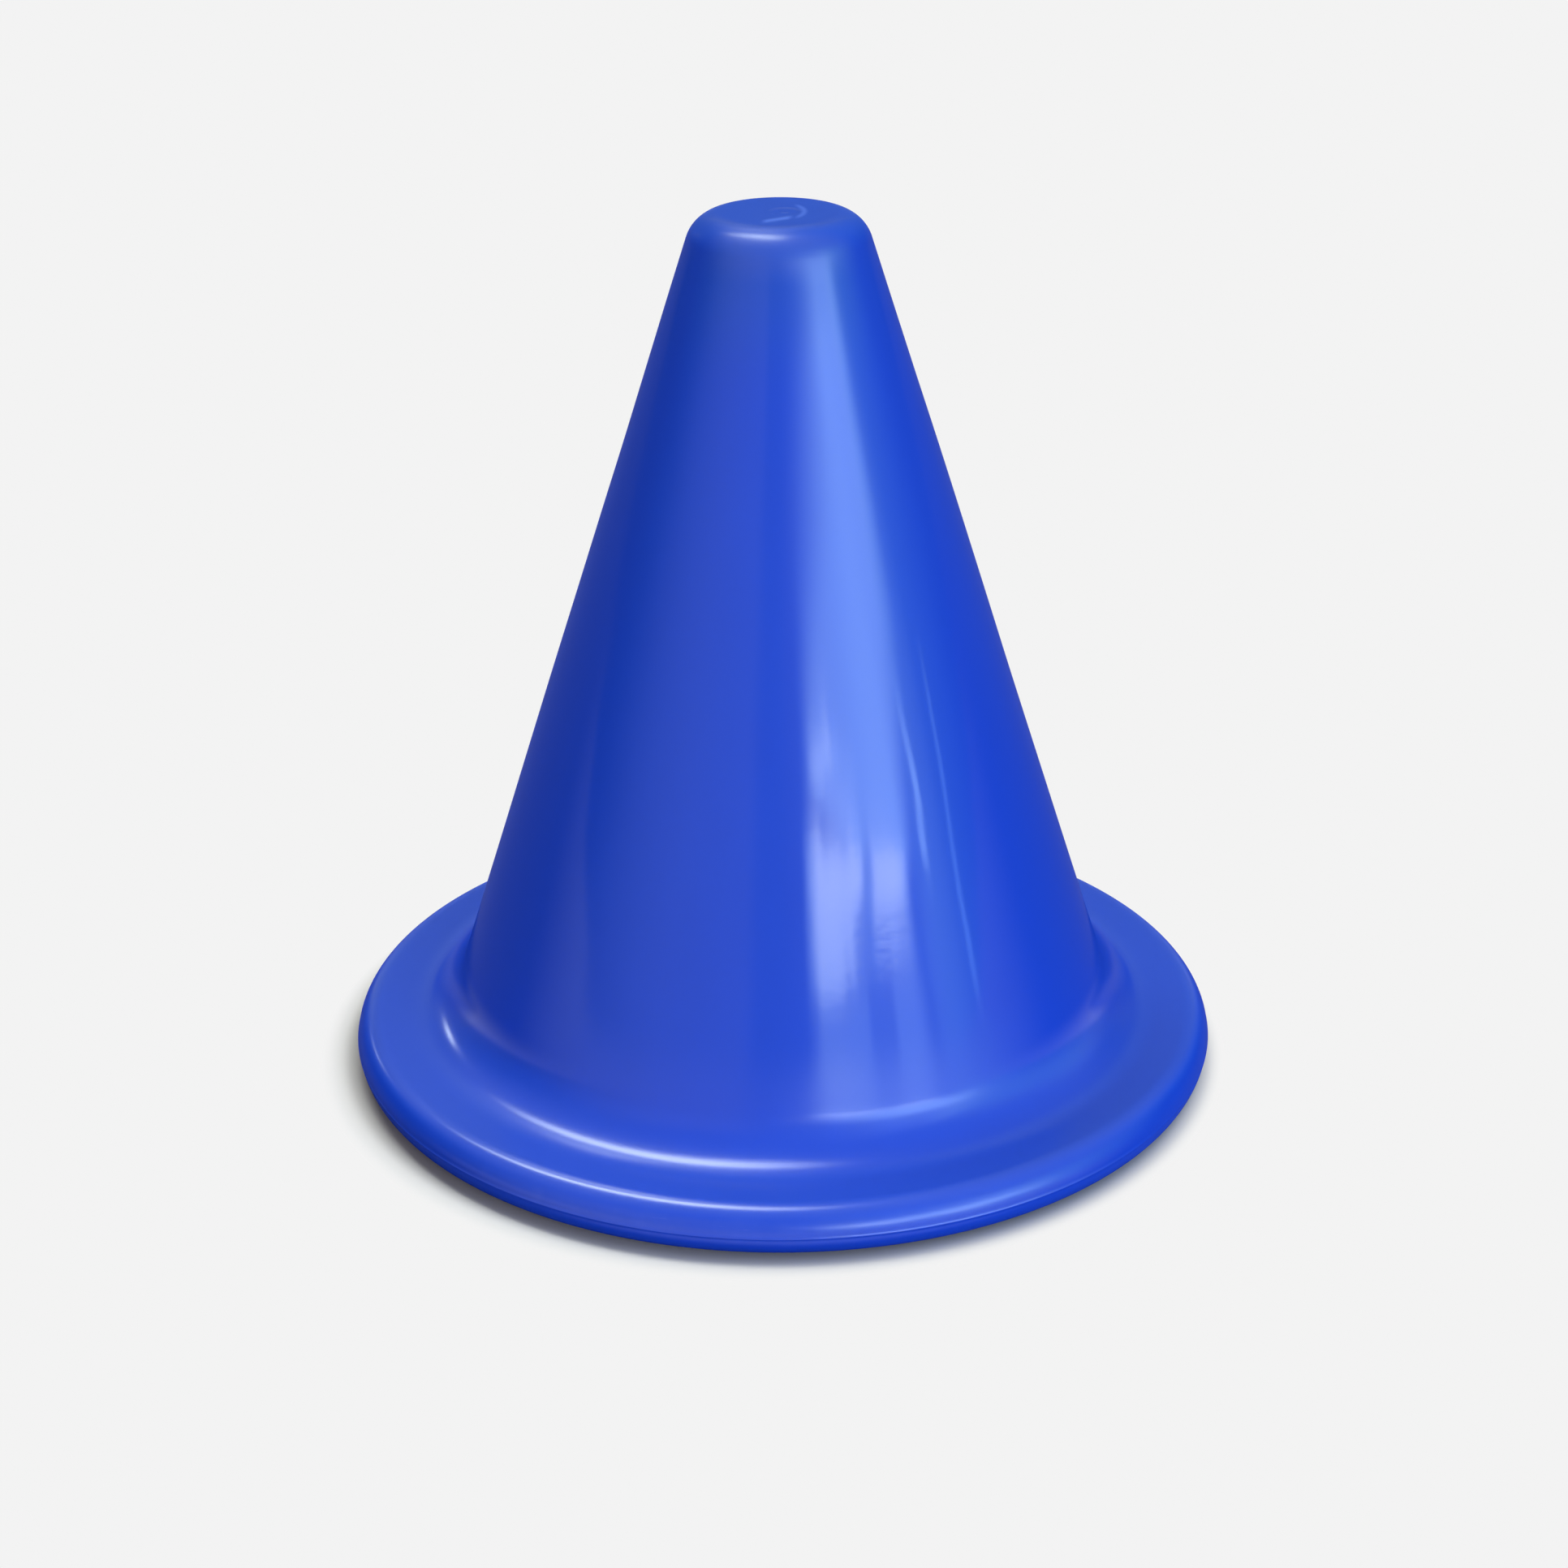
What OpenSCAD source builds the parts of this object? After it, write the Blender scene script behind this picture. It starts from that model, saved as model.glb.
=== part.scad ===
// Sports marker cone: a glossy moulded skin, open underneath, with a round
// hollow flange that holds a rubber ballast ring on its turned-in lip.
// The origin is the centre of the resting plane and +Z runs up the axis.

/* [Overall] */
// Height from the ground to the top of the crown
cone_h = 230; // [150:1:460]
// Height of the flange, which is also the full thickness of its round rim
flange_h = 13.5; // [10:0.5:20]

/* [Wall] */
// Width at the crown, where the wall's straight line meets the top plane
crown_d = 42; // [36:1:70]
// Width at the foot, where the wall's straight line meets the flange's top
foot_d = 181.2; // [120:0.2:280]
// Thickness of the moulded skin, the same all over
skin_t = 2.6; // [1.6:0.1:3.4]
// Radius of the outer rounding between the wall and the crown
shoulder_r = 9.5; // [5:0.5:16]
// Radius of the hollow rounding between the wall and the flange
foot_r = 16; // [6:0.5:24]

/* [Flange and lip] */
// Width of the flat ledge between the hollow rounding and the round rim
ledge_w = 7.3; // [6:0.1:30]
// Free width left between a nested cone's hollow rounding and this cone's lip
nest_clear = 2.2; // [1:0.1:3]

/* [Ballast ring] */
// Width of the ring from its inner side to its round outer side
ring_w = 12; // [9:0.5:16]
// Free height over the ring, and free width at its outer side
ring_clear = 0.3; // [0.1:0.1:0.8]
// Radius of the ring's inner edges
ring_edge_r = 0.8; // [0.4:0.1:1.4]

/* [Mould marks] */
// Width of the raised parting line round the middle of the rim
parting_w = 0.8; // [0.4:0.1:1.6]
// How far the parting line stands out from the rim
parting_h = 0.15; // [0.05:0.05:0.4]
// Width of the round gate mark in the crown
gate_d = 8.6; // [5:0.1:10]
// Depth of the gate mark
gate_depth = 0.5; // [0.2:0.1:1.2]
// Width of the cut sprue left in the middle of the gate mark
sprue_d = 2.2; // [1:0.1:3.5]
// Height of the cut sprue over the floor of the gate mark
sprue_h = 0.3; // [0.1:0.1:0.5]
// How far the gate mark lies off the axis
gate_shift = 1.5; // [0:0.1:2]

/* [Hidden] */

// Smoothness of the turned form, and pieces in each arc of an outline
turn_fn = 180;
arc_steps = 14;
// Overrun of a cut past the face that it opens
overrun = 1;
shell_colour = "royalblue";
ring_colour = "dimgray";

// Directions in the plane of an outline, in degrees from the outward one
up = 90;
inward = 180;
down = 270;

// The wall leans in by this angle; its outward normal points up by the same
lean = atan((foot_d - crown_d) / 2 / (cone_h - flange_h));
// Length from a corner of the wall's line to where a unit rounding begins
round_reach = tan((up - lean) / 2);

shoulder_centre = [crown_d / 2 - shoulder_r * round_reach, cone_h - shoulder_r];
foot_centre = [foot_d / 2 + foot_r * round_reach, flange_h + foot_r];
rim_r = flange_h / 2;
rim_centre = [foot_centre[0] + ledge_w, rim_r];

// The lip ends in a full round, just outside a nested cone's hollow rounding
lip_edge_r = skin_t / 2;
lip_in_r = foot_centre[0] + nest_clear;
// Half the angle that the parting line takes of the rim
parting_a = asin(parting_w / 2 / rim_r);

// The channel is the room inside the flange, over the lip
channel_h = flange_h - 2 * skin_t;
ring_h = channel_h - ring_clear;
ring_round_r = ring_h / 2;
ring_out_centre = [rim_centre[0] - ring_clear, skin_t + ring_round_r];
ring_in_r = ring_out_centre[0] + ring_round_r - ring_w;

// Points of an arc about centre c, from angle a0 to angle a1
function arc(c, r, a0, a1) =
    [for (i = [0:arc_steps]) let (a = a0 + (a1 - a0) * i / arc_steps) c + r * [cos(a), sin(a)]];

// Outer line of the skin, from the middle of the crown to the sole
function outer_line() = concat(
    [[0, cone_h]],
    arc(shoulder_centre, shoulder_r, up, lean),
    arc(foot_centre, foot_r, inward + lean, down),
    arc(rim_centre, rim_r, up, parting_a),
    [for (s = [1, -1]) rim_centre + [rim_r + parting_h, s * parting_w / 4]],
    arc(rim_centre, rim_r, -parting_a, -up)
);

// Round edge of the lip, from the sole up to the floor of the channel
function lip_edge() = arc([lip_in_r + lip_edge_r, lip_edge_r], lip_edge_r, down, up);

// Inner line of the skin, from the floor of the channel up to the crown
function inner_line() = concat(
    arc(rim_centre, rim_r - skin_t, -up, up),
    arc(foot_centre, foot_r + skin_t, down, inward + lean),
    arc(shoulder_centre, shoulder_r - skin_t, lean, up),
    [[0, cone_h - skin_t]]
);

module gate_recess() {
    translate([gate_shift, 0, cone_h - gate_depth])
        cylinder(h = gate_depth + overrun, d1 = gate_d - 2 * gate_depth, d2 = gate_d + 2 * overrun);
}

module sprue() {
    translate([gate_shift, 0, cone_h - gate_depth - overrun])
        cylinder(h = overrun + sprue_h, d = sprue_d);
}

module cone_shell() {
    color(shell_colour) {
        difference() {
            rotate_extrude($fn = turn_fn)
                polygon(concat(outer_line(), lip_edge(), inner_line()));
            gate_recess($fn = turn_fn);
        }
        sprue($fn = turn_fn);
    }
}

// Section of the ring: two small inner edges, and a round outer side that
// follows the channel
module ring_section() {
    low_edge = [ring_in_r + ring_edge_r, skin_t + ring_edge_r];
    high_edge = [ring_in_r + ring_edge_r, skin_t + ring_h - ring_edge_r];
    polygon(concat(
        arc(low_edge, ring_edge_r, inward, down),
        arc(ring_out_centre, ring_round_r, -up, up),
        arc(high_edge, ring_edge_r, up, inward)
    ));
}

module ballast_ring() {
    color(ring_colour)
        rotate_extrude($fn = turn_fn) ring_section();
}

cone_shell();
ballast_ring();
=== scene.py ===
"""Looks of a glossy sports marker cone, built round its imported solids.

The skin's outline is given in millimetres, as in the part's source, and becomes
metres where its mesh is made. Materials, lights and the camera are in metres.
"""

import math

import bmesh
import bpy
from mathutils import Matrix, Vector, noise


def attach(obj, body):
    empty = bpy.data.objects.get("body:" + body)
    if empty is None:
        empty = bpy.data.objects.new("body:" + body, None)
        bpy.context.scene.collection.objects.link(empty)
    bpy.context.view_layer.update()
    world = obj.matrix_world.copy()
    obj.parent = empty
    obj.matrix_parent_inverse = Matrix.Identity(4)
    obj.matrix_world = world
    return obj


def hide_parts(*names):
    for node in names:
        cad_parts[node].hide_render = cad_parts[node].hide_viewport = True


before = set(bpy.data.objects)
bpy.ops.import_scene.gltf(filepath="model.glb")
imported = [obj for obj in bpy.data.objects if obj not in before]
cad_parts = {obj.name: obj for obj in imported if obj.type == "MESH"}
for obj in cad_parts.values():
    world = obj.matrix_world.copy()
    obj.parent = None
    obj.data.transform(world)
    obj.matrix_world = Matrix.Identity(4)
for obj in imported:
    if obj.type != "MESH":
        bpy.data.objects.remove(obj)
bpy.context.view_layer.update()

MM = 0.001

# Sizes of the skin, the same as in the part's source
CONE_H = 230.0
FLANGE_H = 13.5
CROWN_R = 21.0
FOOT_R = 90.6
SKIN = 2.6
SHOULDER_ROUND = 9.5
FOOT_ROUND = 16.0
LEDGE_W = 7.3
NEST_CLEAR = 2.2
PARTING_W = 0.8
PARTING_H = 0.15
GATE_SHIFT = 1.5
SPRUE_R = 1.1

# The gate mark is shallower than in the source, where it would mirror a bright ring
GATE_DEPTH = 0.22
SPRUE_H = 0.12
GATE_FLOOR_RADII = (1.6, 2.2, 2.9)
GATE_SLOPE_W = 1.9
GATE_SLOPE_ROWS = 12
# Top of the sprue as (radius, drop), and its foot as (distance from it, height)
SPRUE_TOP = ((0.3, 0.0), (0.6, 0.01), (0.85, 0.03), (1.0, 0.08))
SPRUE_FOOT = ((0.0, 0.05), (0.15, 0.01))
CROWN_RADII = (5.1, 5.6, 6.2, 7.0, 8.0, 9.4, 11.0, 12.6)
# Between these radii the crown's rows move from the gate mark's centre to the axis
SHIFT_FADES = (5.2, 13.4)
# The parting line's section: (share of its half width, share of its height)
BEAD = ((0.6, 0.45), (0.3, 0.9), (0.0, 1.0), (-0.3, 0.9), (-0.6, 0.45))
# The thicker pad on the inside, under the gate: (radius, drop)
GATE_PAD = ((9.0, 0.0), (6.2, 0.0), (6.05, 0.05), (5.95, 0.2),
            (5.8, 0.22), (4.0, 0.22), (2.0, 0.22), (0.6, 0.22))

LEAN = math.atan((FOOT_R - CROWN_R) / (CONE_H - FLANGE_H))
REACH = math.tan((math.pi / 2 - LEAN) / 2)
LEAN_DEG = math.degrees(LEAN)
SHOULDER_AT = (CROWN_R - SHOULDER_ROUND * REACH, CONE_H - SHOULDER_ROUND)
FOOT_AT = (FOOT_R + FOOT_ROUND * REACH, FLANGE_H + FOOT_ROUND)
RIM_ROUND = FLANGE_H / 2
RIM_AT = (FOOT_AT[0] + LEDGE_W, RIM_ROUND)
LIP_ROUND = SKIN / 2
LIP_AT = (FOOT_AT[0] + NEST_CLEAR + LIP_ROUND, LIP_ROUND)

# How finely the skin is meshed: faces round the axis, and steps along the outline
SEGMENTS = 384
ROUND_STEP = 1.0
SHOULDER_STEP = 0.6
RIM_STEP = 0.5
FLAT_STEP = 1.2
LIP_STEP = 0.4
WALL_STEP = 2.5
INSIDE_STEP = 3.5
INSIDE_FOOT_STEP = 2.0
# Points nearer than this count as one
SAME_POINT = 0.01

# Slow waves that shrinkage leaves in a moulded wall: (length, height)
WALL_WAVES = ((62.0, 0.20), (24.0, 0.045))
WAVE_SEED = Vector((11.3, 4.7, 2.9))
# Heights between which the waves grow from the foot, and fade towards the shoulder
WAVES_GROW = (FLANGE_H + 2.0, FLANGE_H + 26.0)
WAVES_FADE = (196.0, 220.0)


class Socket:
    """A node's output with arithmetic on it; each operation adds a Math node."""

    def __init__(self, maker, socket):
        self.maker, self.socket = maker, socket

    def _math(self, operation, *values, clamp=False):
        settings = {"operation": operation, "use_clamp": clamp}
        return self.maker.node("ShaderNodeMath", settings, dict(enumerate(values)))

    def __add__(self, other):
        return self._math("ADD", self, other)

    def __sub__(self, other):
        return self._math("SUBTRACT", self, other)

    def __rsub__(self, other):
        return self._math("SUBTRACT", other, self)

    def __mul__(self, other):
        return self._math("MULTIPLY", self, other)

    def __truediv__(self, other):
        return self._math("DIVIDE", self, other)

    def __pow__(self, other):
        return self._math("POWER", self, other)

    __radd__ = __add__
    __rmul__ = __mul__

    def abs(self):
        return self._math("ABSOLUTE", self)

    def clamp(self):
        return self._math("ADD", self, 0.0, clamp=True)

    def most(self, other):
        return self._math("MAXIMUM", self, other)

    def least(self, other):
        return self._math("MINIMUM", self, other)


class Shader:
    """Adds nodes to one node tree."""

    def __init__(self, tree):
        self.tree = tree
        tree.nodes.clear()

    def node(self, kind, settings=None, values=None, output=0):
        """A node of that kind: its settings first, then its sockets' values or links."""
        made = self.tree.nodes.new(kind)
        for name, value in (settings or {}).items():
            setattr(made, name, value)
        for name, value in (values or {}).items():
            if isinstance(value, Socket):
                self.tree.links.new(value.socket, made.inputs[name])
            else:
                made.inputs[name].default_value = value
        return Socket(self, made.outputs[output]) if len(made.outputs) else None

    def place(self):
        """Where the surface is, in its object's own frame, in metres."""
        return self.node("ShaderNodeTexCoord", output="Object")

    def split(self, vector):
        """The three parts of a vector."""
        made = self.node("ShaderNodeSeparateXYZ", None, {0: vector}).socket.node
        return [Socket(self, out) for out in made.outputs]

    def step(self, value, low, high):
        """0 below low and 1 above high, smooth between."""
        return self.node(
            "ShaderNodeMapRange",
            {"interpolation_type": "SMOOTHSTEP"},
            {"Value": value, "From Min": low, "From Max": high},
        )

    def between(self, value, low, high, soft_low, soft_high):
        """1 between low and high, with soft sides of those widths."""
        rise = self.step(value, low - soft_low / 2, low + soft_low / 2)
        fall = self.step(value, high - soft_high / 2, high + soft_high / 2)
        return rise * (1.0 - fall)

    def noise(self, place, size, detail, roughness, seed):
        """Even noise from 0 to 1, whose lumps are about size metres wide."""
        return self.node(
            "ShaderNodeTexNoise",
            {"noise_dimensions": "4D"},
            {
                "Vector": place,
                "W": seed,
                "Scale": 1.0 / size,
                "Detail": detail,
                "Roughness": roughness,
            },
        )

    def drawn_out(self, place, height):
        """Place with its height multiplied: a small number draws a pattern out along Z."""
        return self.node(
            "ShaderNodeVectorMath",
            {"operation": "MULTIPLY"},
            {0: place, 1: (1.0, 1.0, height)},
        )

    def blend(self, amount, first, second):
        """A colour between two colours."""
        return self.node(
            "ShaderNodeMix",
            {"data_type": "RGBA"},
            {"Factor": amount, 6: first, 7: second},
            output=2,
        )

    def bump(self, height, distance):
        """A normal for a fine height, whose unit is distance metres."""
        return self.node(
            "ShaderNodeBump",
            None,
            {"Strength": 1.0, "Distance": distance, "Height": height},
        )

    def rays(self, *kinds):
        """1 for light rays of any of those kinds, and 0 for the others."""
        path = self.node("ShaderNodeLightPath").socket.node
        found = Socket(self, path.outputs[kinds[0]])
        for kind in kinds[1:]:
            found = found.most(Socket(self, path.outputs[kind]))
        return found

    def surface(self, shader):
        self.node("ShaderNodeOutputMaterial", None, {"Surface": shader})


def new_material(name):
    """A material with an empty node tree, and the shader that fills it."""
    material = bpy.data.materials.new(name)
    material.use_nodes = True
    return material, Shader(material.node_tree)


def rgba(r, g, b):
    return (r, g, b, 1.0)


# Colours of the shell: its dye, painted shade at the top and on faces turned from the view,
# scuffs, painted highlights beside the gate mark, and a painted sheen on the flat tops
SHELL_BLUE = rgba(0.0108, 0.066, 0.61)
SHELL_BLUE_DEEP = rgba(0.0098, 0.060, 0.57)
PAINTED_TOP_SHADE = rgba(0.0130, 0.072, 0.52)
PAINTED_TURNED_SHADE = rgba(0.0085, 0.046, 0.53)
PAINTED_TURNED_SHADE_HIGH = rgba(0.0160, 0.053, 0.515)
SCUFF_BLUE = rgba(0.06, 0.13, 0.62)
GATE_HIGHLIGHT_PALE = rgba(0.10, 0.19, 0.72)
PAINTED_FLAT_SHEEN = rgba(0.027, 0.082, 0.60)
PAINTED_FLAT_SHEEN_TOP = rgba(0.028, 0.080, 0.495)

# Zones of the shell by height: (from, to) of a soft step, and of a band also the
# widths of its two soft sides
NEAR_TOP = (0.190, 0.222)
CROWN_FLAT = (0.2235, 0.2290)
CROWN_FACE = (0.228, 0.2285)
CROWN_EDGE_ABOVE = (0.220, 0.227)
FLANGE_FLAT = (0.0118, 0.0168, 0.0020, 0.0050)
LOW_END = (0.026, 0.044)
HIGH_END = (0.2165, 0.2260)
WALL_ABOVE = (0.0175, 0.029)
FOOT_BAND = (0.0144, 0.0600, 0.0012, 0.0200)
TURNED_SHADE_HIGH_ABOVE = (0.070, 0.170)

# Zones of the shell by radius, in the same way
FLANGE_OUTSIDE = (0.0955, 0.0990)
RIM_EDGE = (0.1125, 0.1158)
CROWN_EDGE = (0.0145, 0.0185, 0.003, 0.003)
RIM_OUTSIDE = (0.1115, 0.1140)
WALL_OUTSIDE = (0.0135, 0.0200)
SPRUE_CUT = (0.0012, 0.0019)

# A painted highlight in front of the gate mark: its middle, slope, length and width, and a
# bowed one at the right: its half axes, width as a share of them, and left end
GATE_HIGHLIGHT_AT = (-0.0020, -0.0084)
GATE_HIGHLIGHT_SLOPE = 0.63
GATE_HIGHLIGHT_ALONG = (-0.0052, 0.0014, 0.0020, 0.0020)
GATE_HIGHLIGHT_ACROSS = (0.0, 0.0028)
GATE_HIGHLIGHT_STRENGTH = 0.85
BOW_AXES = (0.0048, 0.0075)
BOW_ACROSS = (0.0, 0.26)
BOW_FROM = (0.0020, 0.0038)
BOW_STRENGTH = 0.6

# Gloss: roughness of the clean wall, what other places add, and the most of it, as
# the renderer's noise filter draws an edge where the gloss is rougher than that
SHELL_IOR = 1.50
SHELL_ROUGHNESS = 0.075
LOW_ROUGHER = 0.12
RIM_ROUGHER = 0.03
HIGH_ROUGHER = 0.165
SMEARS_ROUGHER = 0.05
WEAR_ROUGHER = 0.1
ROUGHEST = 0.262

# The haze over the gloss: its share on the clean wall, and what other places add
HAZE_ROUGHNESS = 0.42
WALL_HAZE = 0.10
LOW_HAZE = 0.30
HIGH_HAZE = 0.70
WEAR_HAZE = 0.3

# How far a face turns from the view, from 0 to 1, while it goes matt, and how matt; the matt
# part is also painted a deeper blue, as painted shade
WALL_TURNS, WALL_DULLED = (0.12, 0.45), 0.93
FOOT_TURNS, FOOT_DULLED = (0.52, 0.66), 0.80
ALL_TURNS, ALL_DULLED = (0.50, 0.80), 0.86
MATT_ROUGHNESS = 0.5
MATT_SHADE_SHARE = 0.8

PEEL_DEPTH = 0.000008


def shell_plastic():
    """Blue plastic, dyed through and glossy from a polished mould."""
    material, s = new_material("shell_plastic")
    place = s.place()
    x, y, z = s.split(place)
    radius = (x * x + y * y) ** 0.5

    # Dye that flowed up from the gate: slow clouds, drawn out along the height
    clouds = s.noise(s.drawn_out(place, 0.35), 0.045, detail=3.0, roughness=0.55, seed=1.0)
    flow = s.noise(s.drawn_out(place, 0.12), 0.009, detail=2.0, roughness=0.5, seed=2.0)
    dye = (clouds * 0.7 + flow * 0.3 - 0.32) * 2.6
    # Painted shade: towards the top the blue is painted darker and greyer
    near_top = s.step(z, *NEAR_TOP)
    colour = s.blend(dye.clamp(), SHELL_BLUE_DEEP, SHELL_BLUE)
    colour = s.blend(near_top, colour, PAINTED_TOP_SHADE)

    # Painted sheen on what lies flat, the flange and the crown: a paler, greyer blue in
    # patches, darker at the top
    flat_top = s.between(z, *FLANGE_FLAT) * s.step(radius, *FLANGE_OUTSIDE)
    flat_top = flat_top.most(s.step(z, *CROWN_FLAT))
    sheen_patches = 0.75 + s.noise(place, 0.011, detail=3.0, roughness=0.6, seed=13.0) * 0.5
    painted_sheen = s.blend(near_top, PAINTED_FLAT_SHEEN, PAINTED_FLAT_SHEEN_TOP)
    colour = s.blend((flat_top * sheen_patches).clamp(), colour, painted_sheen)

    # Fine scratches where cones slide over each other and the rim meets the ground
    hairs = s.noise(s.drawn_out(place, 14.0), 0.0042, detail=2.0, roughness=0.6, seed=3.0)
    hair_lines = s.step(hairs, 0.66, 0.72)
    rim_wear = s.step(radius, *RIM_EDGE)
    crown_wear = s.between(radius, *CROWN_EDGE) * s.step(z, *CROWN_EDGE_ABOVE)
    patches = s.step(s.noise(place, 0.016, detail=3.0, roughness=0.6, seed=4.0), 0.46, 0.66)
    wear = ((rim_wear * 0.55 + crown_wear * 0.5) * patches * (0.35 + hair_lines)).clamp()
    colour = s.blend(wear * 0.35, colour, SCUFF_BLUE)

    # Painted highlights on the crown beside the gate mark: a pale stroke in front of it and a
    # pale bow at its right
    crown_face = s.step(z, *CROWN_FACE)
    gate_x = x - GATE_SHIFT * MM
    from_gate = (gate_x * gate_x + y * y) ** 0.5
    across = (y - GATE_HIGHLIGHT_AT[1] - (gate_x - GATE_HIGHLIGHT_AT[0]) * GATE_HIGHLIGHT_SLOPE).abs()
    gate_stroke = s.between(gate_x, *GATE_HIGHLIGHT_ALONG) * (1.0 - s.step(across, *GATE_HIGHLIGHT_ACROSS))
    on_bow = ((gate_x / BOW_AXES[0]) ** 2 + (y / BOW_AXES[1]) ** 2) ** 0.5
    bow = 1.0 - s.step((on_bow - 1.0).abs(), *BOW_ACROSS)
    bow = bow * s.step(gate_x, *BOW_FROM)
    gate_highlights = (gate_stroke * GATE_HIGHLIGHT_STRENGTH).most(bow * BOW_STRENGTH)
    colour = s.blend(gate_highlights * crown_face, colour, GATE_HIGHLIGHT_PALE)

    # Handling marks change the gloss more than the colour
    smears = s.noise(s.drawn_out(place, 0.6), 0.021, detail=4.0, roughness=0.6, seed=5.0)
    cut = (1.0 - s.step(from_gate, *SPRUE_CUT)) * crown_face
    low_end = 1.0 - s.step(z, *LOW_END)
    high_end = s.step(z, *HIGH_END)
    on_rim = s.step(radius, *RIM_OUTSIDE)
    roughness = SHELL_ROUGHNESS + low_end * LOW_ROUGHER + on_rim * RIM_ROUGHER
    roughness = roughness + high_end * HIGH_ROUGHER
    roughness = roughness + (smears - 0.5) * SMEARS_ROUGHER + (wear + cut) * WEAR_ROUGHER

    # Fine rubbing leaves a haze over the gloss, most of it on the flange and the crown
    haze = WALL_HAZE + low_end * LOW_HAZE + high_end * HIGH_HAZE + wear * WEAR_HAZE

    # Orange peel of the moulded face, and the scratches' own depth
    peel = s.noise(place, 0.0024, detail=2.0, roughness=0.5, seed=6.0)
    fine = s.noise(place, 0.0007, detail=1.0, roughness=0.5, seed=7.0)
    height = peel * 0.75 + fine * 0.1 - hair_lines * wear * 0.3

    # It goes matt towards a grazing view, most of all on the wall and the rim, and its matt
    # part is painted a deeper blue: painted shade on the faces turned from the view
    facing = s.node("ShaderNodeLayerWeight", None, {"Blend": 0.5}, output=1)
    on_wall = s.step(z, *WALL_ABOVE) * s.step(radius, *WALL_OUTSIDE)
    on_foot = s.between(z, *FOOT_BAND) * s.step(facing, *FOOT_TURNS)
    wall_turned_matt = s.step(facing, *WALL_TURNS) * on_wall.most(on_rim) * WALL_DULLED
    matt_and_shaded = wall_turned_matt.most(on_foot * FOOT_DULLED)
    matt_and_shaded = matt_and_shaded.most(s.step(facing, *ALL_TURNS) * ALL_DULLED)
    glossy = s.node("ShaderNodeBsdfPrincipled", None, {
        "Base Color": colour,
        "Roughness": roughness.least(ROUGHEST),
        "Normal": s.bump(height, PEEL_DEPTH),
        "IOR": SHELL_IOR,
        "Coat Weight": haze,
        "Coat Roughness": HAZE_ROUGHNESS,
    })
    # Painted shade: the matt part is a deeper blue, greyer higher up, and not on the flat tops
    turned_shade = s.blend(s.step(z, *TURNED_SHADE_HIGH_ABOVE), PAINTED_TURNED_SHADE, PAINTED_TURNED_SHADE_HIGH)
    matt = s.node("ShaderNodeBsdfPrincipled", None, {
        "Base Color": s.blend((1.0 - flat_top) * MATT_SHADE_SHARE, colour, turned_shade),
        "Roughness": MATT_ROUGHNESS,
        "Specular IOR Level": 0.0,
    })
    s.surface(s.node("ShaderNodeMixShader", None, {0: matt_and_shaded, 1: glossy, 2: matt}))
    return material


RUBBER_DARK = rgba(0.030, 0.030, 0.032)
RUBBER_BLOOM = rgba(0.062, 0.062, 0.064)
RUBBER_ROUGHNESS = 0.62
RUBBER_IOR = 1.52
PIT_DEPTH = 0.00008


def ring_rubber():
    """Black rubber, matt, with the pale bloom that it gets on standing."""
    material, s = new_material("ring_rubber")
    place = s.place()
    cloud = s.noise(place, 0.018, detail=4.0, roughness=0.6, seed=8.0)
    bloom = s.step(cloud, 0.42, 0.72)
    grain = s.noise(place, 0.0009, detail=3.0, roughness=0.6, seed=9.0)
    spots = s.noise(place, 0.0022, detail=2.0, roughness=0.5, seed=10.0)
    pits = s.step(spots, 0.3, 0.42)
    paler = bloom * 0.6 + (grain - 0.5) * 0.25
    s.surface(s.node("ShaderNodeBsdfPrincipled", None, {
        "Base Color": s.blend(paler, RUBBER_DARK, RUBBER_BLOOM),
        "Roughness": RUBBER_ROUGHNESS + bloom * 0.2 + (grain - 0.5) * 0.1,
        "Normal": s.bump(grain * 0.4 + pits * 0.6, PIT_DEPTH),
        "IOR": RUBBER_IOR,
    }))
    return material


def arc(centre, radius, start, end, step=ROUND_STEP):
    """Points of an arc from one angle to another, in degrees."""
    count = max(2, math.ceil(abs(math.radians(end - start)) * radius / step))
    angles = [math.radians(start + (end - start) * i / count) for i in range(count + 1)]
    return [
        (centre[0] + radius * math.cos(a), centre[1] + radius * math.sin(a))
        for a in angles
    ]


def line(start, end, step):
    """Points between two points, without the two themselves."""
    length = math.dist(start, end)
    count = max(1, round(length / step))
    return [
        (start[0] + (end[0] - start[0]) * i / count, start[1] + (end[1] - start[1]) * i / count)
        for i in range(1, count)
    ]


def joined(*parts):
    """One row of points, without doubled ones."""
    points = []
    for part in parts:
        for point in part:
            if not points or math.dist(points[-1], point) > SAME_POINT:
                points.append(point)
    return points


def smooth(value, low, high):
    """0 below low and 1 above high, smooth between, for plain numbers."""
    share = min(1.0, max(0.0, (value - low) / (high - low)))
    return share * share * (3 - 2 * share)


def gate_line():
    """From the middle of the cut sprue over the gate mark to the flat of the crown."""
    floor = CONE_H - GATE_DEPTH
    top = floor + SPRUE_H
    sprue = [(r, top - drop) for r, drop in SPRUE_TOP]
    sprue += [(SPRUE_R + out, floor + rise) for out, rise in SPRUE_FOOT]
    dish = [(r, floor) for r in GATE_FLOOR_RADII]
    shares = [i / GATE_SLOPE_ROWS for i in range(1, GATE_SLOPE_ROWS + 1)]
    slope = [
        (GATE_FLOOR_RADII[-1] + GATE_SLOPE_W * share,
         floor + GATE_DEPTH * smooth(share, 0.0, 1.0))
        for share in shares
    ]
    flat = [(r, CONE_H) for r in CROWN_RADII]
    return sprue + dish + slope + flat


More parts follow.
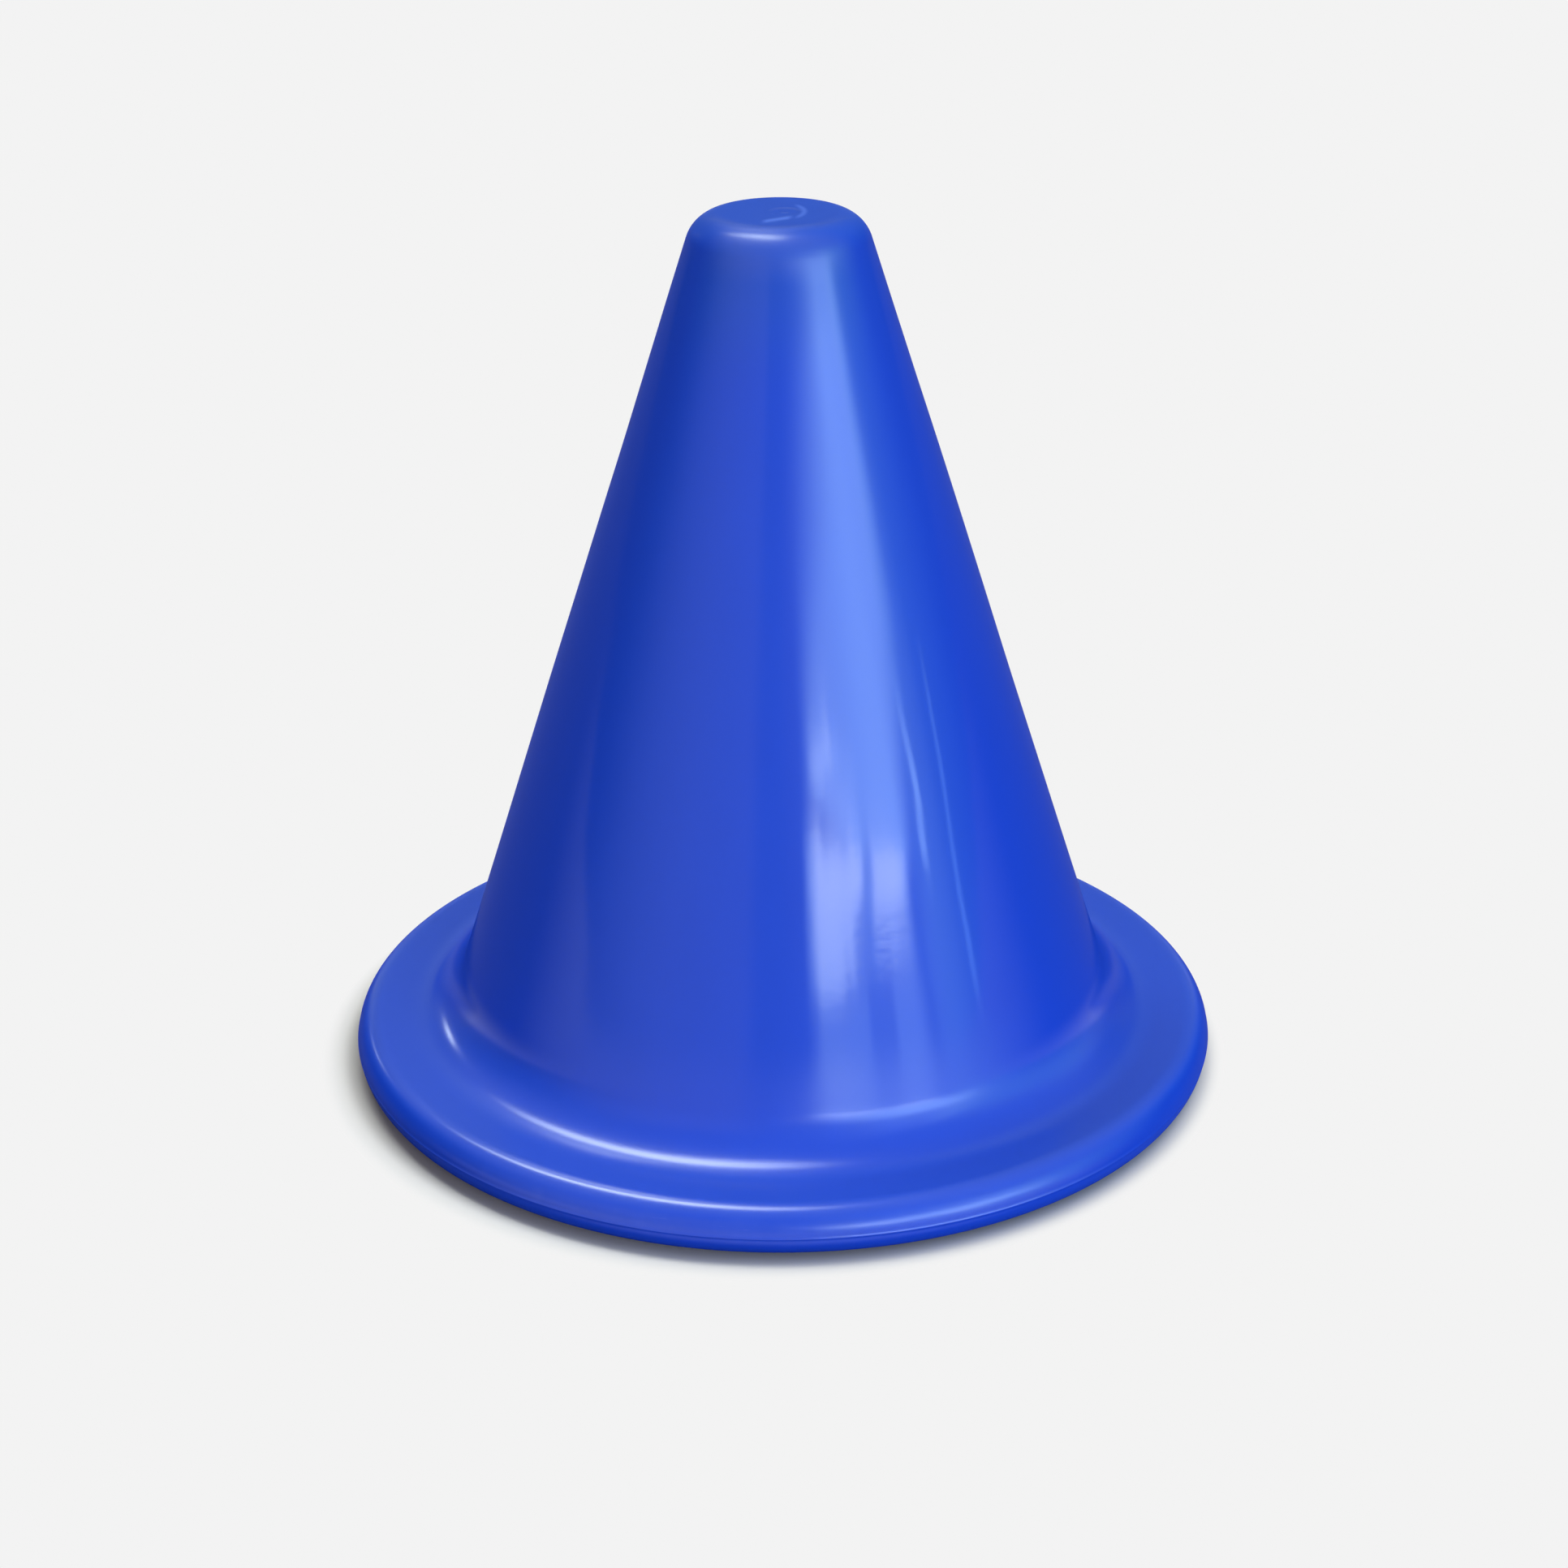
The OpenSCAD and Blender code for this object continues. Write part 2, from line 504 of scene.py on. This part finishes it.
def outer_line():
    """The outside, from the crown down to the sole and round the lip's edge."""
    shoulder = arc(SHOULDER_AT, SHOULDER_ROUND, 90, LEAN_DEG, SHOULDER_STEP)
    foot = arc(FOOT_AT, FOOT_ROUND, 180 + LEAN_DEG, 270)
    bead_a = math.degrees(PARTING_W / 2 / RIM_ROUND)
    over = arc(RIM_AT, RIM_ROUND, 90, bead_a, RIM_STEP)
    under = arc(RIM_AT, RIM_ROUND, -bead_a, -90, RIM_STEP)
    bead = [
        (RIM_AT[0] + RIM_ROUND + PARTING_H * rise, RIM_AT[1] + PARTING_W / 2 * side)
        for side, rise in BEAD
    ]
    return joined(
        shoulder,
        line(shoulder[-1], foot[0], WALL_STEP),
        foot,
        line(foot[-1], over[0], FLAT_STEP),
        over, bead, under,
        line(under[-1], (LIP_AT[0], 0.0), FLAT_STEP),
        arc(LIP_AT, LIP_ROUND, 270, 90, LIP_STEP),
    )


def inner_line():
    """The inside, from the channel's floor up to under the crown."""
    channel = arc(RIM_AT, RIM_ROUND - SKIN, -90, 90)
    foot = arc(FOOT_AT, FOOT_ROUND + SKIN, 270, 180 + LEAN_DEG, INSIDE_FOOT_STEP)
    shoulder = arc(SHOULDER_AT, SHOULDER_ROUND - SKIN, LEAN_DEG, 90)
    roof = CONE_H - SKIN
    return joined(
        line((LIP_AT[0], SKIN), channel[0], INSIDE_FOOT_STEP),
        channel, foot,
        line(foot[-1], shoulder[0], INSIDE_STEP),
        shoulder,
        [(r, roof - drop) for r, drop in GATE_PAD],
    )


def wall_wave(point, height):
    """How far the wall stands out of true at a point on it, in millimetres."""
    weight = smooth(height, *WAVES_GROW) * (1 - smooth(height, *WAVES_FADE))
    if weight <= 0.0:
        return 0.0
    return weight * sum(
        size * noise.noise(point / length + WAVE_SEED) for length, size in WALL_WAVES
    )


def turned(rows):
    """A closed mesh turned from rows of (radius, height, shift, wave) in millimetres.

    Shift moves a row's centre along X, and wave lets the wall's slow waves act on it.
    The first and last rows close in a point at their centres.
    """
    bm = bmesh.new()
    rings = []
    for radius, height, shift, wave in rows:
        ring = []
        for i in range(SEGMENTS):
            turn = math.tau * i / SEGMENTS
            along_x, along_y = math.cos(turn), math.sin(turn)
            point = Vector((shift + radius * along_x, radius * along_y, height))
            if wave:
                flat, up = math.cos(LEAN), math.sin(LEAN)
                out = Vector((along_x * flat, along_y * flat, up))
                point += out * wall_wave(point, height)
            ring.append(bm.verts.new(point * MM))
        rings.append(ring)
    for upper, lower in zip(rings, rings[1:]):
        for i in range(SEGMENTS):
            j = (i + 1) % SEGMENTS
            bm.faces.new((upper[i], lower[i], lower[j], upper[j]))
    for ring, row, turned_over in ((rings[0], rows[0], False), (rings[-1], rows[-1], True)):
        tip = bm.verts.new(Vector((row[2], 0.0, row[1])) * MM)
        for i in range(SEGMENTS):
            j = (i + 1) % SEGMENTS
            corners = (tip, ring[j], ring[i]) if turned_over else (tip, ring[i], ring[j])
            bm.faces.new(corners)
    bm.normal_update()
    return bm


def to_object(bm, name, material):
    """A smooth-shaded object of that mesh in that material."""
    mesh = bpy.data.meshes.new(name)
    bm.to_mesh(mesh)
    bm.free()
    mesh.polygons.foreach_set("use_smooth", [True] * len(mesh.polygons))
    mesh.materials.append(material)
    made = bpy.data.objects.new(name, mesh)
    bpy.context.scene.collection.objects.link(made)
    return made


def build_skin():
    """The shell as one skin, with its waves, gate mark and parting line."""
    gate = [(r, z, GATE_SHIFT * (1 - smooth(r, *SHIFT_FADES)), False) for r, z in gate_line()]
    outside = [(r, z, 0.0, True) for r, z in outer_line()]
    inside = [(r, z, 0.0, False) for r, z in inner_line()]
    skin = to_object(turned(gate + outside + inside), "moulded_skin", shell_plastic())
    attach(skin, "root")
    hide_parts("cone_shell")


def dress_ring():
    """The ballast ring is shown as the solid itself, in its own rubber."""
    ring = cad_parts["ballast_ring"]
    ring.data.materials.clear()
    ring.data.materials.append(ring_rubber())


# The stage: a floor wide enough to fill every view, and how bright it looks
FLOOR_RADIUS = 600.0
FLOOR_SIDES = 96
FLOOR_PALE = rgba(0.80, 0.73, 0.70)
FLOOR_PAINTED_SHADOW = rgba(0.39, 0.345, 0.33)
FLOOR_TO_OBJECT = 0.26
BACKGROUND = 0.896
WHITE = rgba(1, 1, 1)
# The shadow round the object: where it is painted deep into the floor's colour, where it ends,
# and its shift along X
SHADOW_DEEP = (0.1128, 0.1192)
SHADOW_ENDS = (0.1156, 0.1240)
SHADOW_SHIFT = 0.003


def build_floor():
    """A pale floor.

    What the camera and mirrored rays see is pale, painted darker close round the object as a
    shadow; less of it lights the object.
    """
    bm = bmesh.new()
    bmesh.ops.create_circle(bm, cap_ends=True, radius=FLOOR_RADIUS, segments=FLOOR_SIDES)
    material, s = new_material("pale_floor")
    seen = s.rays("Is Camera Ray", "Is Glossy Ray", "Is Transmission Ray")
    x, y = s.split(s.place())[:2]
    reach = ((x + SHADOW_SHIFT) ** 2 + y * y) ** 0.5
    away = s.step(reach, *SHADOW_ENDS)
    # Painted shadow: close round the object the floor's colour is darker, over its lit shadow
    pale = s.blend(s.step(reach, *SHADOW_DEEP), FLOOR_PAINTED_SHADOW, FLOOR_PALE)
    tone = s.blend(seen, rgba(*[FLOOR_TO_OBJECT] * 3), pale)
    lit = s.node("ShaderNodeBsdfDiffuse", None, {"Color": tone})
    even = s.node("ShaderNodeEmission", None, {"Color": WHITE, "Strength": BACKGROUND})
    s.surface(s.node("ShaderNodeMixShader", None, {0: seen * away, 1: lit, 2: even}))
    floor = to_object(bm, "floor", material)


# Sides of the room by azimuth in degrees, 0 towards the front and growing to the
# right: bands with the widths of their two soft sides, and a soft step both ways
ROOM_LEFT = (-60.0, -12.0, 40.0, 8.0)
ROOM_FRONT = (-82.0, 88.0, 30.0, 30.0)
ROOM_RIGHT = (56.0, 122.0, 16.0, 24.0)
ROOM_CORNER = (-176.0, -150.0, 8.0, 8.0)
ROOM_BEHIND = (135.0, 155.0)
# Heights in degrees at which parts of it end or begin
PALE_BACK_ENDS = (5.0, 9.0)
LOW_BACK_ENDS = (17.0, 23.0)
CORNER_ENDS = (16.0, 22.0)
RIGHT_PALER = (6.0, 14.0)
CEILING_BEGINS = (22.0, 42.0)
CEILING_LOWER = 8.0
# A narrow pale line at the right: its azimuth and height, and how it leans
GLINT_AT = (73.8, 75.6, 1.6, 1.6)
GLINT_HEIGHT = (0.2, 5.0, 1.0, 2.0)
GLINT_LEANS = (0.5, 6.0)
GLINT_LEAN = 5.0
# How bright each part is
ROOM_LIGHT = 0.07
FRONT_LIGHT = 0.24
LEFT_LIGHT = 0.24
BEHIND_LIGHT = 0.05
LOW_BACK_LIGHT = 0.10
PALE_BACK_LIGHT = 0.60
CORNER_LIGHT = 0.10
RIGHT_LIGHT = 0.45
RIGHT_HIGH_LIGHT = 0.25
GLINT_LIGHT = 3.6
CEILING_LIGHT = 0.30
BEHIND_TINT = rgba(0.80, 1.0, 1.03)
RIGHT_TINT = rgba(0.55, 1.0, 0.42)
GLINT_TINT = rgba(0.35, 0.75, 1.3)


def build_world():
    """The dim room round the object: darker behind and to the right, a pale ceiling."""
    world = bpy.data.worlds.new("room")
    bpy.context.scene.world = world
    world.use_nodes = True
    s = Shader(world.node_tree)
    x, y, z = s.split(s.node("ShaderNodeTexCoord", output="Generated"))
    degrees = 180 / math.pi
    azimuth = s.node("ShaderNodeMath", {"operation": "ARCTAN2"}, {0: x, 1: y * -1.0}) * degrees
    rise = s.node("ShaderNodeMath", {"operation": "ARCSINE"}, {0: z}) * degrees

    front = s.between(azimuth, *ROOM_FRONT)
    left = s.between(azimuth, *ROOM_LEFT)
    right = s.between(azimuth, *ROOM_RIGHT)
    corner = s.between(azimuth, *ROOM_CORNER) * (1.0 - s.step(rise, *CORNER_ENDS))
    behind = s.step(azimuth.abs(), *ROOM_BEHIND)
    low_back = behind * (1.0 - s.step(rise, *LOW_BACK_ENDS))
    pale_back = behind * (1.0 - s.step(rise, *PALE_BACK_ENDS))
    glint = s.between(azimuth - s.step(rise, *GLINT_LEANS) * GLINT_LEAN, *GLINT_AT)
    glint = glint * s.between(rise, *GLINT_HEIGHT)
    ceiling = s.step(rise - (front + behind) * CEILING_LOWER, *CEILING_BEGINS)

    room = ROOM_LIGHT + front * FRONT_LIGHT + left * LEFT_LIGHT + behind * BEHIND_LIGHT
    room = room + low_back * LOW_BACK_LIGHT + pale_back * PALE_BACK_LIGHT
    room = room + corner * CORNER_LIGHT + glint * GLINT_LIGHT
    room = room + right * (RIGHT_LIGHT + s.step(rise, *RIGHT_PALER) * RIGHT_HIGH_LIGHT)
    light = room * (1.0 - ceiling) + ceiling * CEILING_LIGHT
    tint = s.blend(behind, WHITE, BEHIND_TINT)
    tint = s.blend(right * (1.0 - ceiling), tint, RIGHT_TINT)
    tint = s.blend(glint, tint, GLINT_TINT)

    # Straight from the camera it is as pale as the floor, for views that look past that
    back = s.node("ShaderNodeBackground", None, {"Color": tint, "Strength": light})
    pale = s.node("ShaderNodeBackground", None, {"Color": WHITE, "Strength": BACKGROUND})
    seen = s.rays("Is Camera Ray")
    mixed = s.node("ShaderNodeMixShader", None, {0: seen, 1: back, 2: pale})
    s.node("ShaderNodeOutputWorld", None, {"Surface": mixed})


def light_card(bm, name, material):
    """A card that lights the object and is mirrored, but isn't seen by the camera."""
    card = to_object(bm, name, material)
    card.visible_camera = False


# The window's plane and extent; along it x runs to the right and z up
WINDOW_Y = -2.0
WINDOW_X = (-0.4, 8.0)
WINDOW_Z = (0.02, 3.4)
CURTAIN_TINT = rgba(0.66, 1.05, 1.42)
PANE_TINT = rgba(0.84, 1.0, 1.08)
WINDOW_LIGHT = 0.86
# Widths of its sharp edges, at the foot and at the head of a part
SHARP_FOOT = 0.014
SHARP_HEAD = 0.012
# Left side and head of the panes, and how soft that side is
PANES_LEFT = 0.385
PANES_HEAD = 0.468
PANES_SOFT = 0.26
# Folds of the curtain: from and to along x with soft sides, foot and head, how much
# they climb along x, and brightness
FOLDS_MIDDLE = 0.65
FOLDS = (
    ((0.42, 1.35, 0.12, 0.30), (0.488, 0.566, SHARP_FOOT, SHARP_HEAD), 0.0, 1.0),
    ((0.45, 0.95, 0.12, 0.30), (0.528, 0.553, SHARP_FOOT, SHARP_FOOT), 0.055, 5.2),
    ((0.43, 1.30, 0.12, 0.35), (0.494, 0.514, SHARP_FOOT, SHARP_FOOT), -0.036, 1.9),
)
# A sunlit edge at the right: its middle, half width, height and brightness
EDGE_X = 3.66
EDGE_HALF = 0.22
EDGE_HEIGHT = (0.44, 0.69, 0.04, 0.10)
EDGE_LIGHT = 4.8


def build_window():
    """A tall bright window in front and to the right: a soft curtain over two clear panes."""
    (left, right), (low, high) = WINDOW_X, WINDOW_Z
    bm = bmesh.new()
    corners = [(left, low), (right, low), (right, high), (left, high)]
    bm.faces.new([bm.verts.new((x, WINDOW_Y, z)) for x, z in corners])
    material, s = new_material("window_light")
    place = s.place()
    x, y, z = s.split(place)
    wobble = s.noise(place, 0.15, detail=2.0, roughness=0.5, seed=11.0)
    slow = s.noise(place, 0.45, detail=2.0, roughness=0.5, seed=12.0)
    crinkles = s.noise(place, 0.10, detail=3.0, roughness=0.6, seed=15.0)
    wx = x + (wobble - 0.5) * 0.08
    wz = z + (wobble - 0.5) * 0.05

    # The curtain's sides are sharp low down and soft higher up, and it is dim at the right
    upper = s.step(z, 0.45, 1.0)
    from_left = s.step(x, 0.26 - upper * 0.32, 0.54 + upper * 1.23)
    from_right = 1.0 - s.step(x, 2.35 - upper * 0.45, 3.1 + upper * 2.1)
    along = z - x * 0.18
    fading = 1.0 - s.step(along, 0.72, 0.98) * 0.80 - s.step(along, 1.2, 2.6) * 0.12
    hem = s.step(wz + s.step(x, 0.4, 1.3) * 0.030, 0.484, 0.506)
    curtain = from_left * from_right * fading * hem * (4.0 + s.step(x, 0.6, 1.9) * 1.6)
    dim_side = s.step(x, 2.4, 3.2) * (1.0 - s.step(x, 3.4, 8.0)) * 0.9

    # Two panes, with light that leaks round the bar between them and out below them
    low_down = 1.0 - s.step(z, 0.34, 0.42)
    bar_left = 1.26 - low_down * 0.20 + (z - 0.42)
    bar_right = 1.44 + (z - 0.40) * 1.2
    panes_right = 2.32 + (z - 0.377) * 4.5
    sill = 0.300 + x * 0.036
    left_pane = s.between(wx, PANES_LEFT, bar_left, PANES_SOFT, 0.12)
    left_pane = left_pane * s.between(wz, sill, PANES_HEAD, SHARP_FOOT, SHARP_HEAD)
    right_pane = s.between(wx, bar_right, panes_right, 0.16, 0.55)
    right_pane = right_pane * s.between(wz, 0.356, PANES_HEAD, SHARP_HEAD, SHARP_HEAD)
    leak = s.between(wx, PANES_LEFT, 2.45, PANES_SOFT, 0.45)
    leak = leak * s.between(wz, 0.335, PANES_HEAD, 0.035, SHARP_HEAD)
    panes = (left_pane + right_pane) * 0.62 + leak * (0.38 - low_down * 0.14)
    below = s.between(wx, PANES_LEFT, 2.5, PANES_SOFT, 0.7) * (1.0 - s.step(wz, 0.30, 0.35))
    below = below * (1.0 - s.between(wx, 1.15, 1.66, 0.12, 0.12) * 0.55)

    # Sunlit folds of the curtain over the left pane
    folds = 0.0
    for run, height, climb, strength in FOLDS:
        level = wz - (wx - FOLDS_MIDDLE) * climb
        folds = folds + s.between(level, *height) * s.between(wx, *run) * strength
    folds = folds * (crinkles * 2.0)

    # The sunlit edge steps to the right higher up and is dimmer at the step
    edge = wx + (slow - 0.5) * 0.3 - EDGE_X - s.between(z, 0.545, 0.65, 0.03, 0.05) * 0.24
    edge = s.between(edge, -EDGE_HALF, EDGE_HALF, 0.16, 0.16) * s.between(wz, *EDGE_HEIGHT)
    edge = edge * (1.0 - s.between(z, 0.528, 0.550, SHARP_HEAD, SHARP_HEAD) * 0.5)

    light = curtain + dim_side + panes * (8.6 + slow * 3.2) + folds + below * 2.3
    light = (light + edge * EDGE_LIGHT) * WINDOW_LIGHT
    tint = s.blend((panes + folds * 0.12).clamp(), CURTAIN_TINT, PANE_TINT)
    glow = s.node("ShaderNodeEmission", None, {"Color": tint, "Strength": light})
    clear = s.node("ShaderNodeBsdfTransparent")
    s.surface(s.node("ShaderNodeAddShader", None, {0: glow, 1: clear}))
    light_card(bm, "window_light", material)


SIDE_WINDOW = ((-1.74, 1.89, 0.80), (-1.66, 1.96, 0.80), (-1.76, 1.87, 1.14),
               (-1.84, 1.80, 1.14))
SIDE_WINDOW_LIGHT = 16.0


def build_side_window():
    """A small low window behind and to the left."""
    bm = bmesh.new()
    bm.faces.new([bm.verts.new(corner) for corner in SIDE_WINDOW])
    material, s = new_material("side_window_light")
    glow = {"Color": PANE_TINT, "Strength": SIDE_WINDOW_LIGHT}
    s.surface(s.node("ShaderNodeEmission", None, glow))
    light_card(bm, "side_window_light", material)


# Two curved lights on the ceiling: (x, y, width) points of the plan, and brightness
STRIP_HEIGHT = 1.5
NEAR_STRIP = ((0.20, -0.02, 0.66), (0.06, 0.05, 0.66), (-0.18, 0.18, 0.62),
              (-0.42, 0.34, 0.54), (-0.66, 0.54, 0.46), (-0.88, 0.80, 0.42),
              (-1.06, 1.08, 0.42), (-1.22, 1.40, 0.42))
FAR_STRIP = ((0.24, 0.62, 0.7), (0.0, 0.68, 0.7), (-0.28, 0.86, 0.7), (-0.58, 1.12, 0.7),
             (-0.86, 1.44, 0.7))
NEAR_LIGHT = 18.0
FAR_LIGHT = 4.5
# Where a strip shines, as shares of its length and its width, with its soft ends
STRIP_ALONG = (0.19, 0.725, 0.32, 0.35)
STRIP_ACROSS = (0.25, 0.75, 0.5, 0.5)
LAMP_TINT = rgba(0.88, 1.0, 0.96)


def strip_light(name, points, strength):
    """A ceiling light along (x, y, width) points, soft at its sides and its ends."""
    bm = bmesh.new()
    layer = bm.loops.layers.uv.new("along_and_across")
    ways = [Vector(b[:2]) - Vector(a[:2]) for a, b in zip(points, points[1:])]
    turns = [a.normalized() + b.normalized() for a, b in zip(ways, ways[1:])]
    rows = []
    for (x, y, width), way in zip(points, [ways[0], *turns, ways[-1]]):
        side = Vector((-way.y, way.x)).normalized() * width / 2
        sides = [Vector((x, y)) + side * end for end in (-1, 1)]
        rows.append([bm.verts.new((*spot, STRIP_HEIGHT)) for spot in sides])
    count = len(rows) - 1
    for i in range(count):
        face = bm.faces.new((rows[i][0], rows[i + 1][0], rows[i + 1][1], rows[i][1]))
        spots = ((i, 0), (i + 1, 0), (i + 1, 1), (i, 1))
        for loop, (along, across) in zip(face.loops, spots):
            loop[layer].uv = (along / count, across)
    material, s = new_material(name)
    along, across = s.split(s.node("ShaderNodeTexCoord", output="UV"))[:2]
    soft = s.between(across, *STRIP_ACROSS) * s.between(along, *STRIP_ALONG)
    glow = {"Color": LAMP_TINT, "Strength": soft * strength}
    s.surface(s.node("ShaderNodeEmission", None, glow))
    light_card(bm, name, material)


FILL_POWER = 10.0
FILL_SIZE = (1.0, 0.5)
FILL_AT = (0.55, -1.95, 0.60)
FILL_TOWARDS = (0, 0, 0.12)


def fill_lamp():
    """Light from the front that is too even to be mirrored."""
    lamp = bpy.data.lights.new("fill", "AREA")
    lamp.shape = "RECTANGLE"
    lamp.size, lamp.size_y = FILL_SIZE
    lamp.energy = FILL_POWER
    made = bpy.data.objects.new("fill", lamp)
    made.location = FILL_AT
    way = Vector(FILL_TOWARDS) - made.location
    made.rotation_euler = way.to_track_quat("-Z", "Y").to_euler()
    made.visible_camera = False
    made.visible_glossy = False
    bpy.context.scene.collection.objects.link(made)


# The camera as fitted to the photo: it looks down by its tilt, in degrees
CAMERA_AT = (0.0006, -0.7459, 0.4073)
CAMERA_TILT = 23.985
CAMERA_ROLL = -0.28
CAMERA_LENS = 70.17
CAMERA_SENSOR = 36.0
CAMERA_SEES_TO = 2000.0


def build_camera():
    camera = bpy.data.cameras.new("camera")
    camera.sensor_width = CAMERA_SENSOR
    camera.lens = CAMERA_LENS
    camera.clip_end = CAMERA_SEES_TO
    made = bpy.data.objects.new("camera", camera)
    made.location = CAMERA_AT
    tilt = Matrix.Rotation(math.radians(90 - CAMERA_TILT), 3, "X")
    roll = Matrix.Rotation(math.radians(CAMERA_ROLL), 3, "Z")
    made.rotation_euler = (tilt @ roll).to_euler()
    bpy.context.scene.collection.objects.link(made)
    bpy.context.scene.camera = made


build_skin()
dress_ring()
build_floor()
build_world()
build_window()
build_side_window()
strip_light("near_strip", NEAR_STRIP, NEAR_LIGHT)
strip_light("far_strip", FAR_STRIP, FAR_LIGHT)
fill_lamp()
build_camera()

bpy.context.scene.view_settings.view_transform = "Standard"
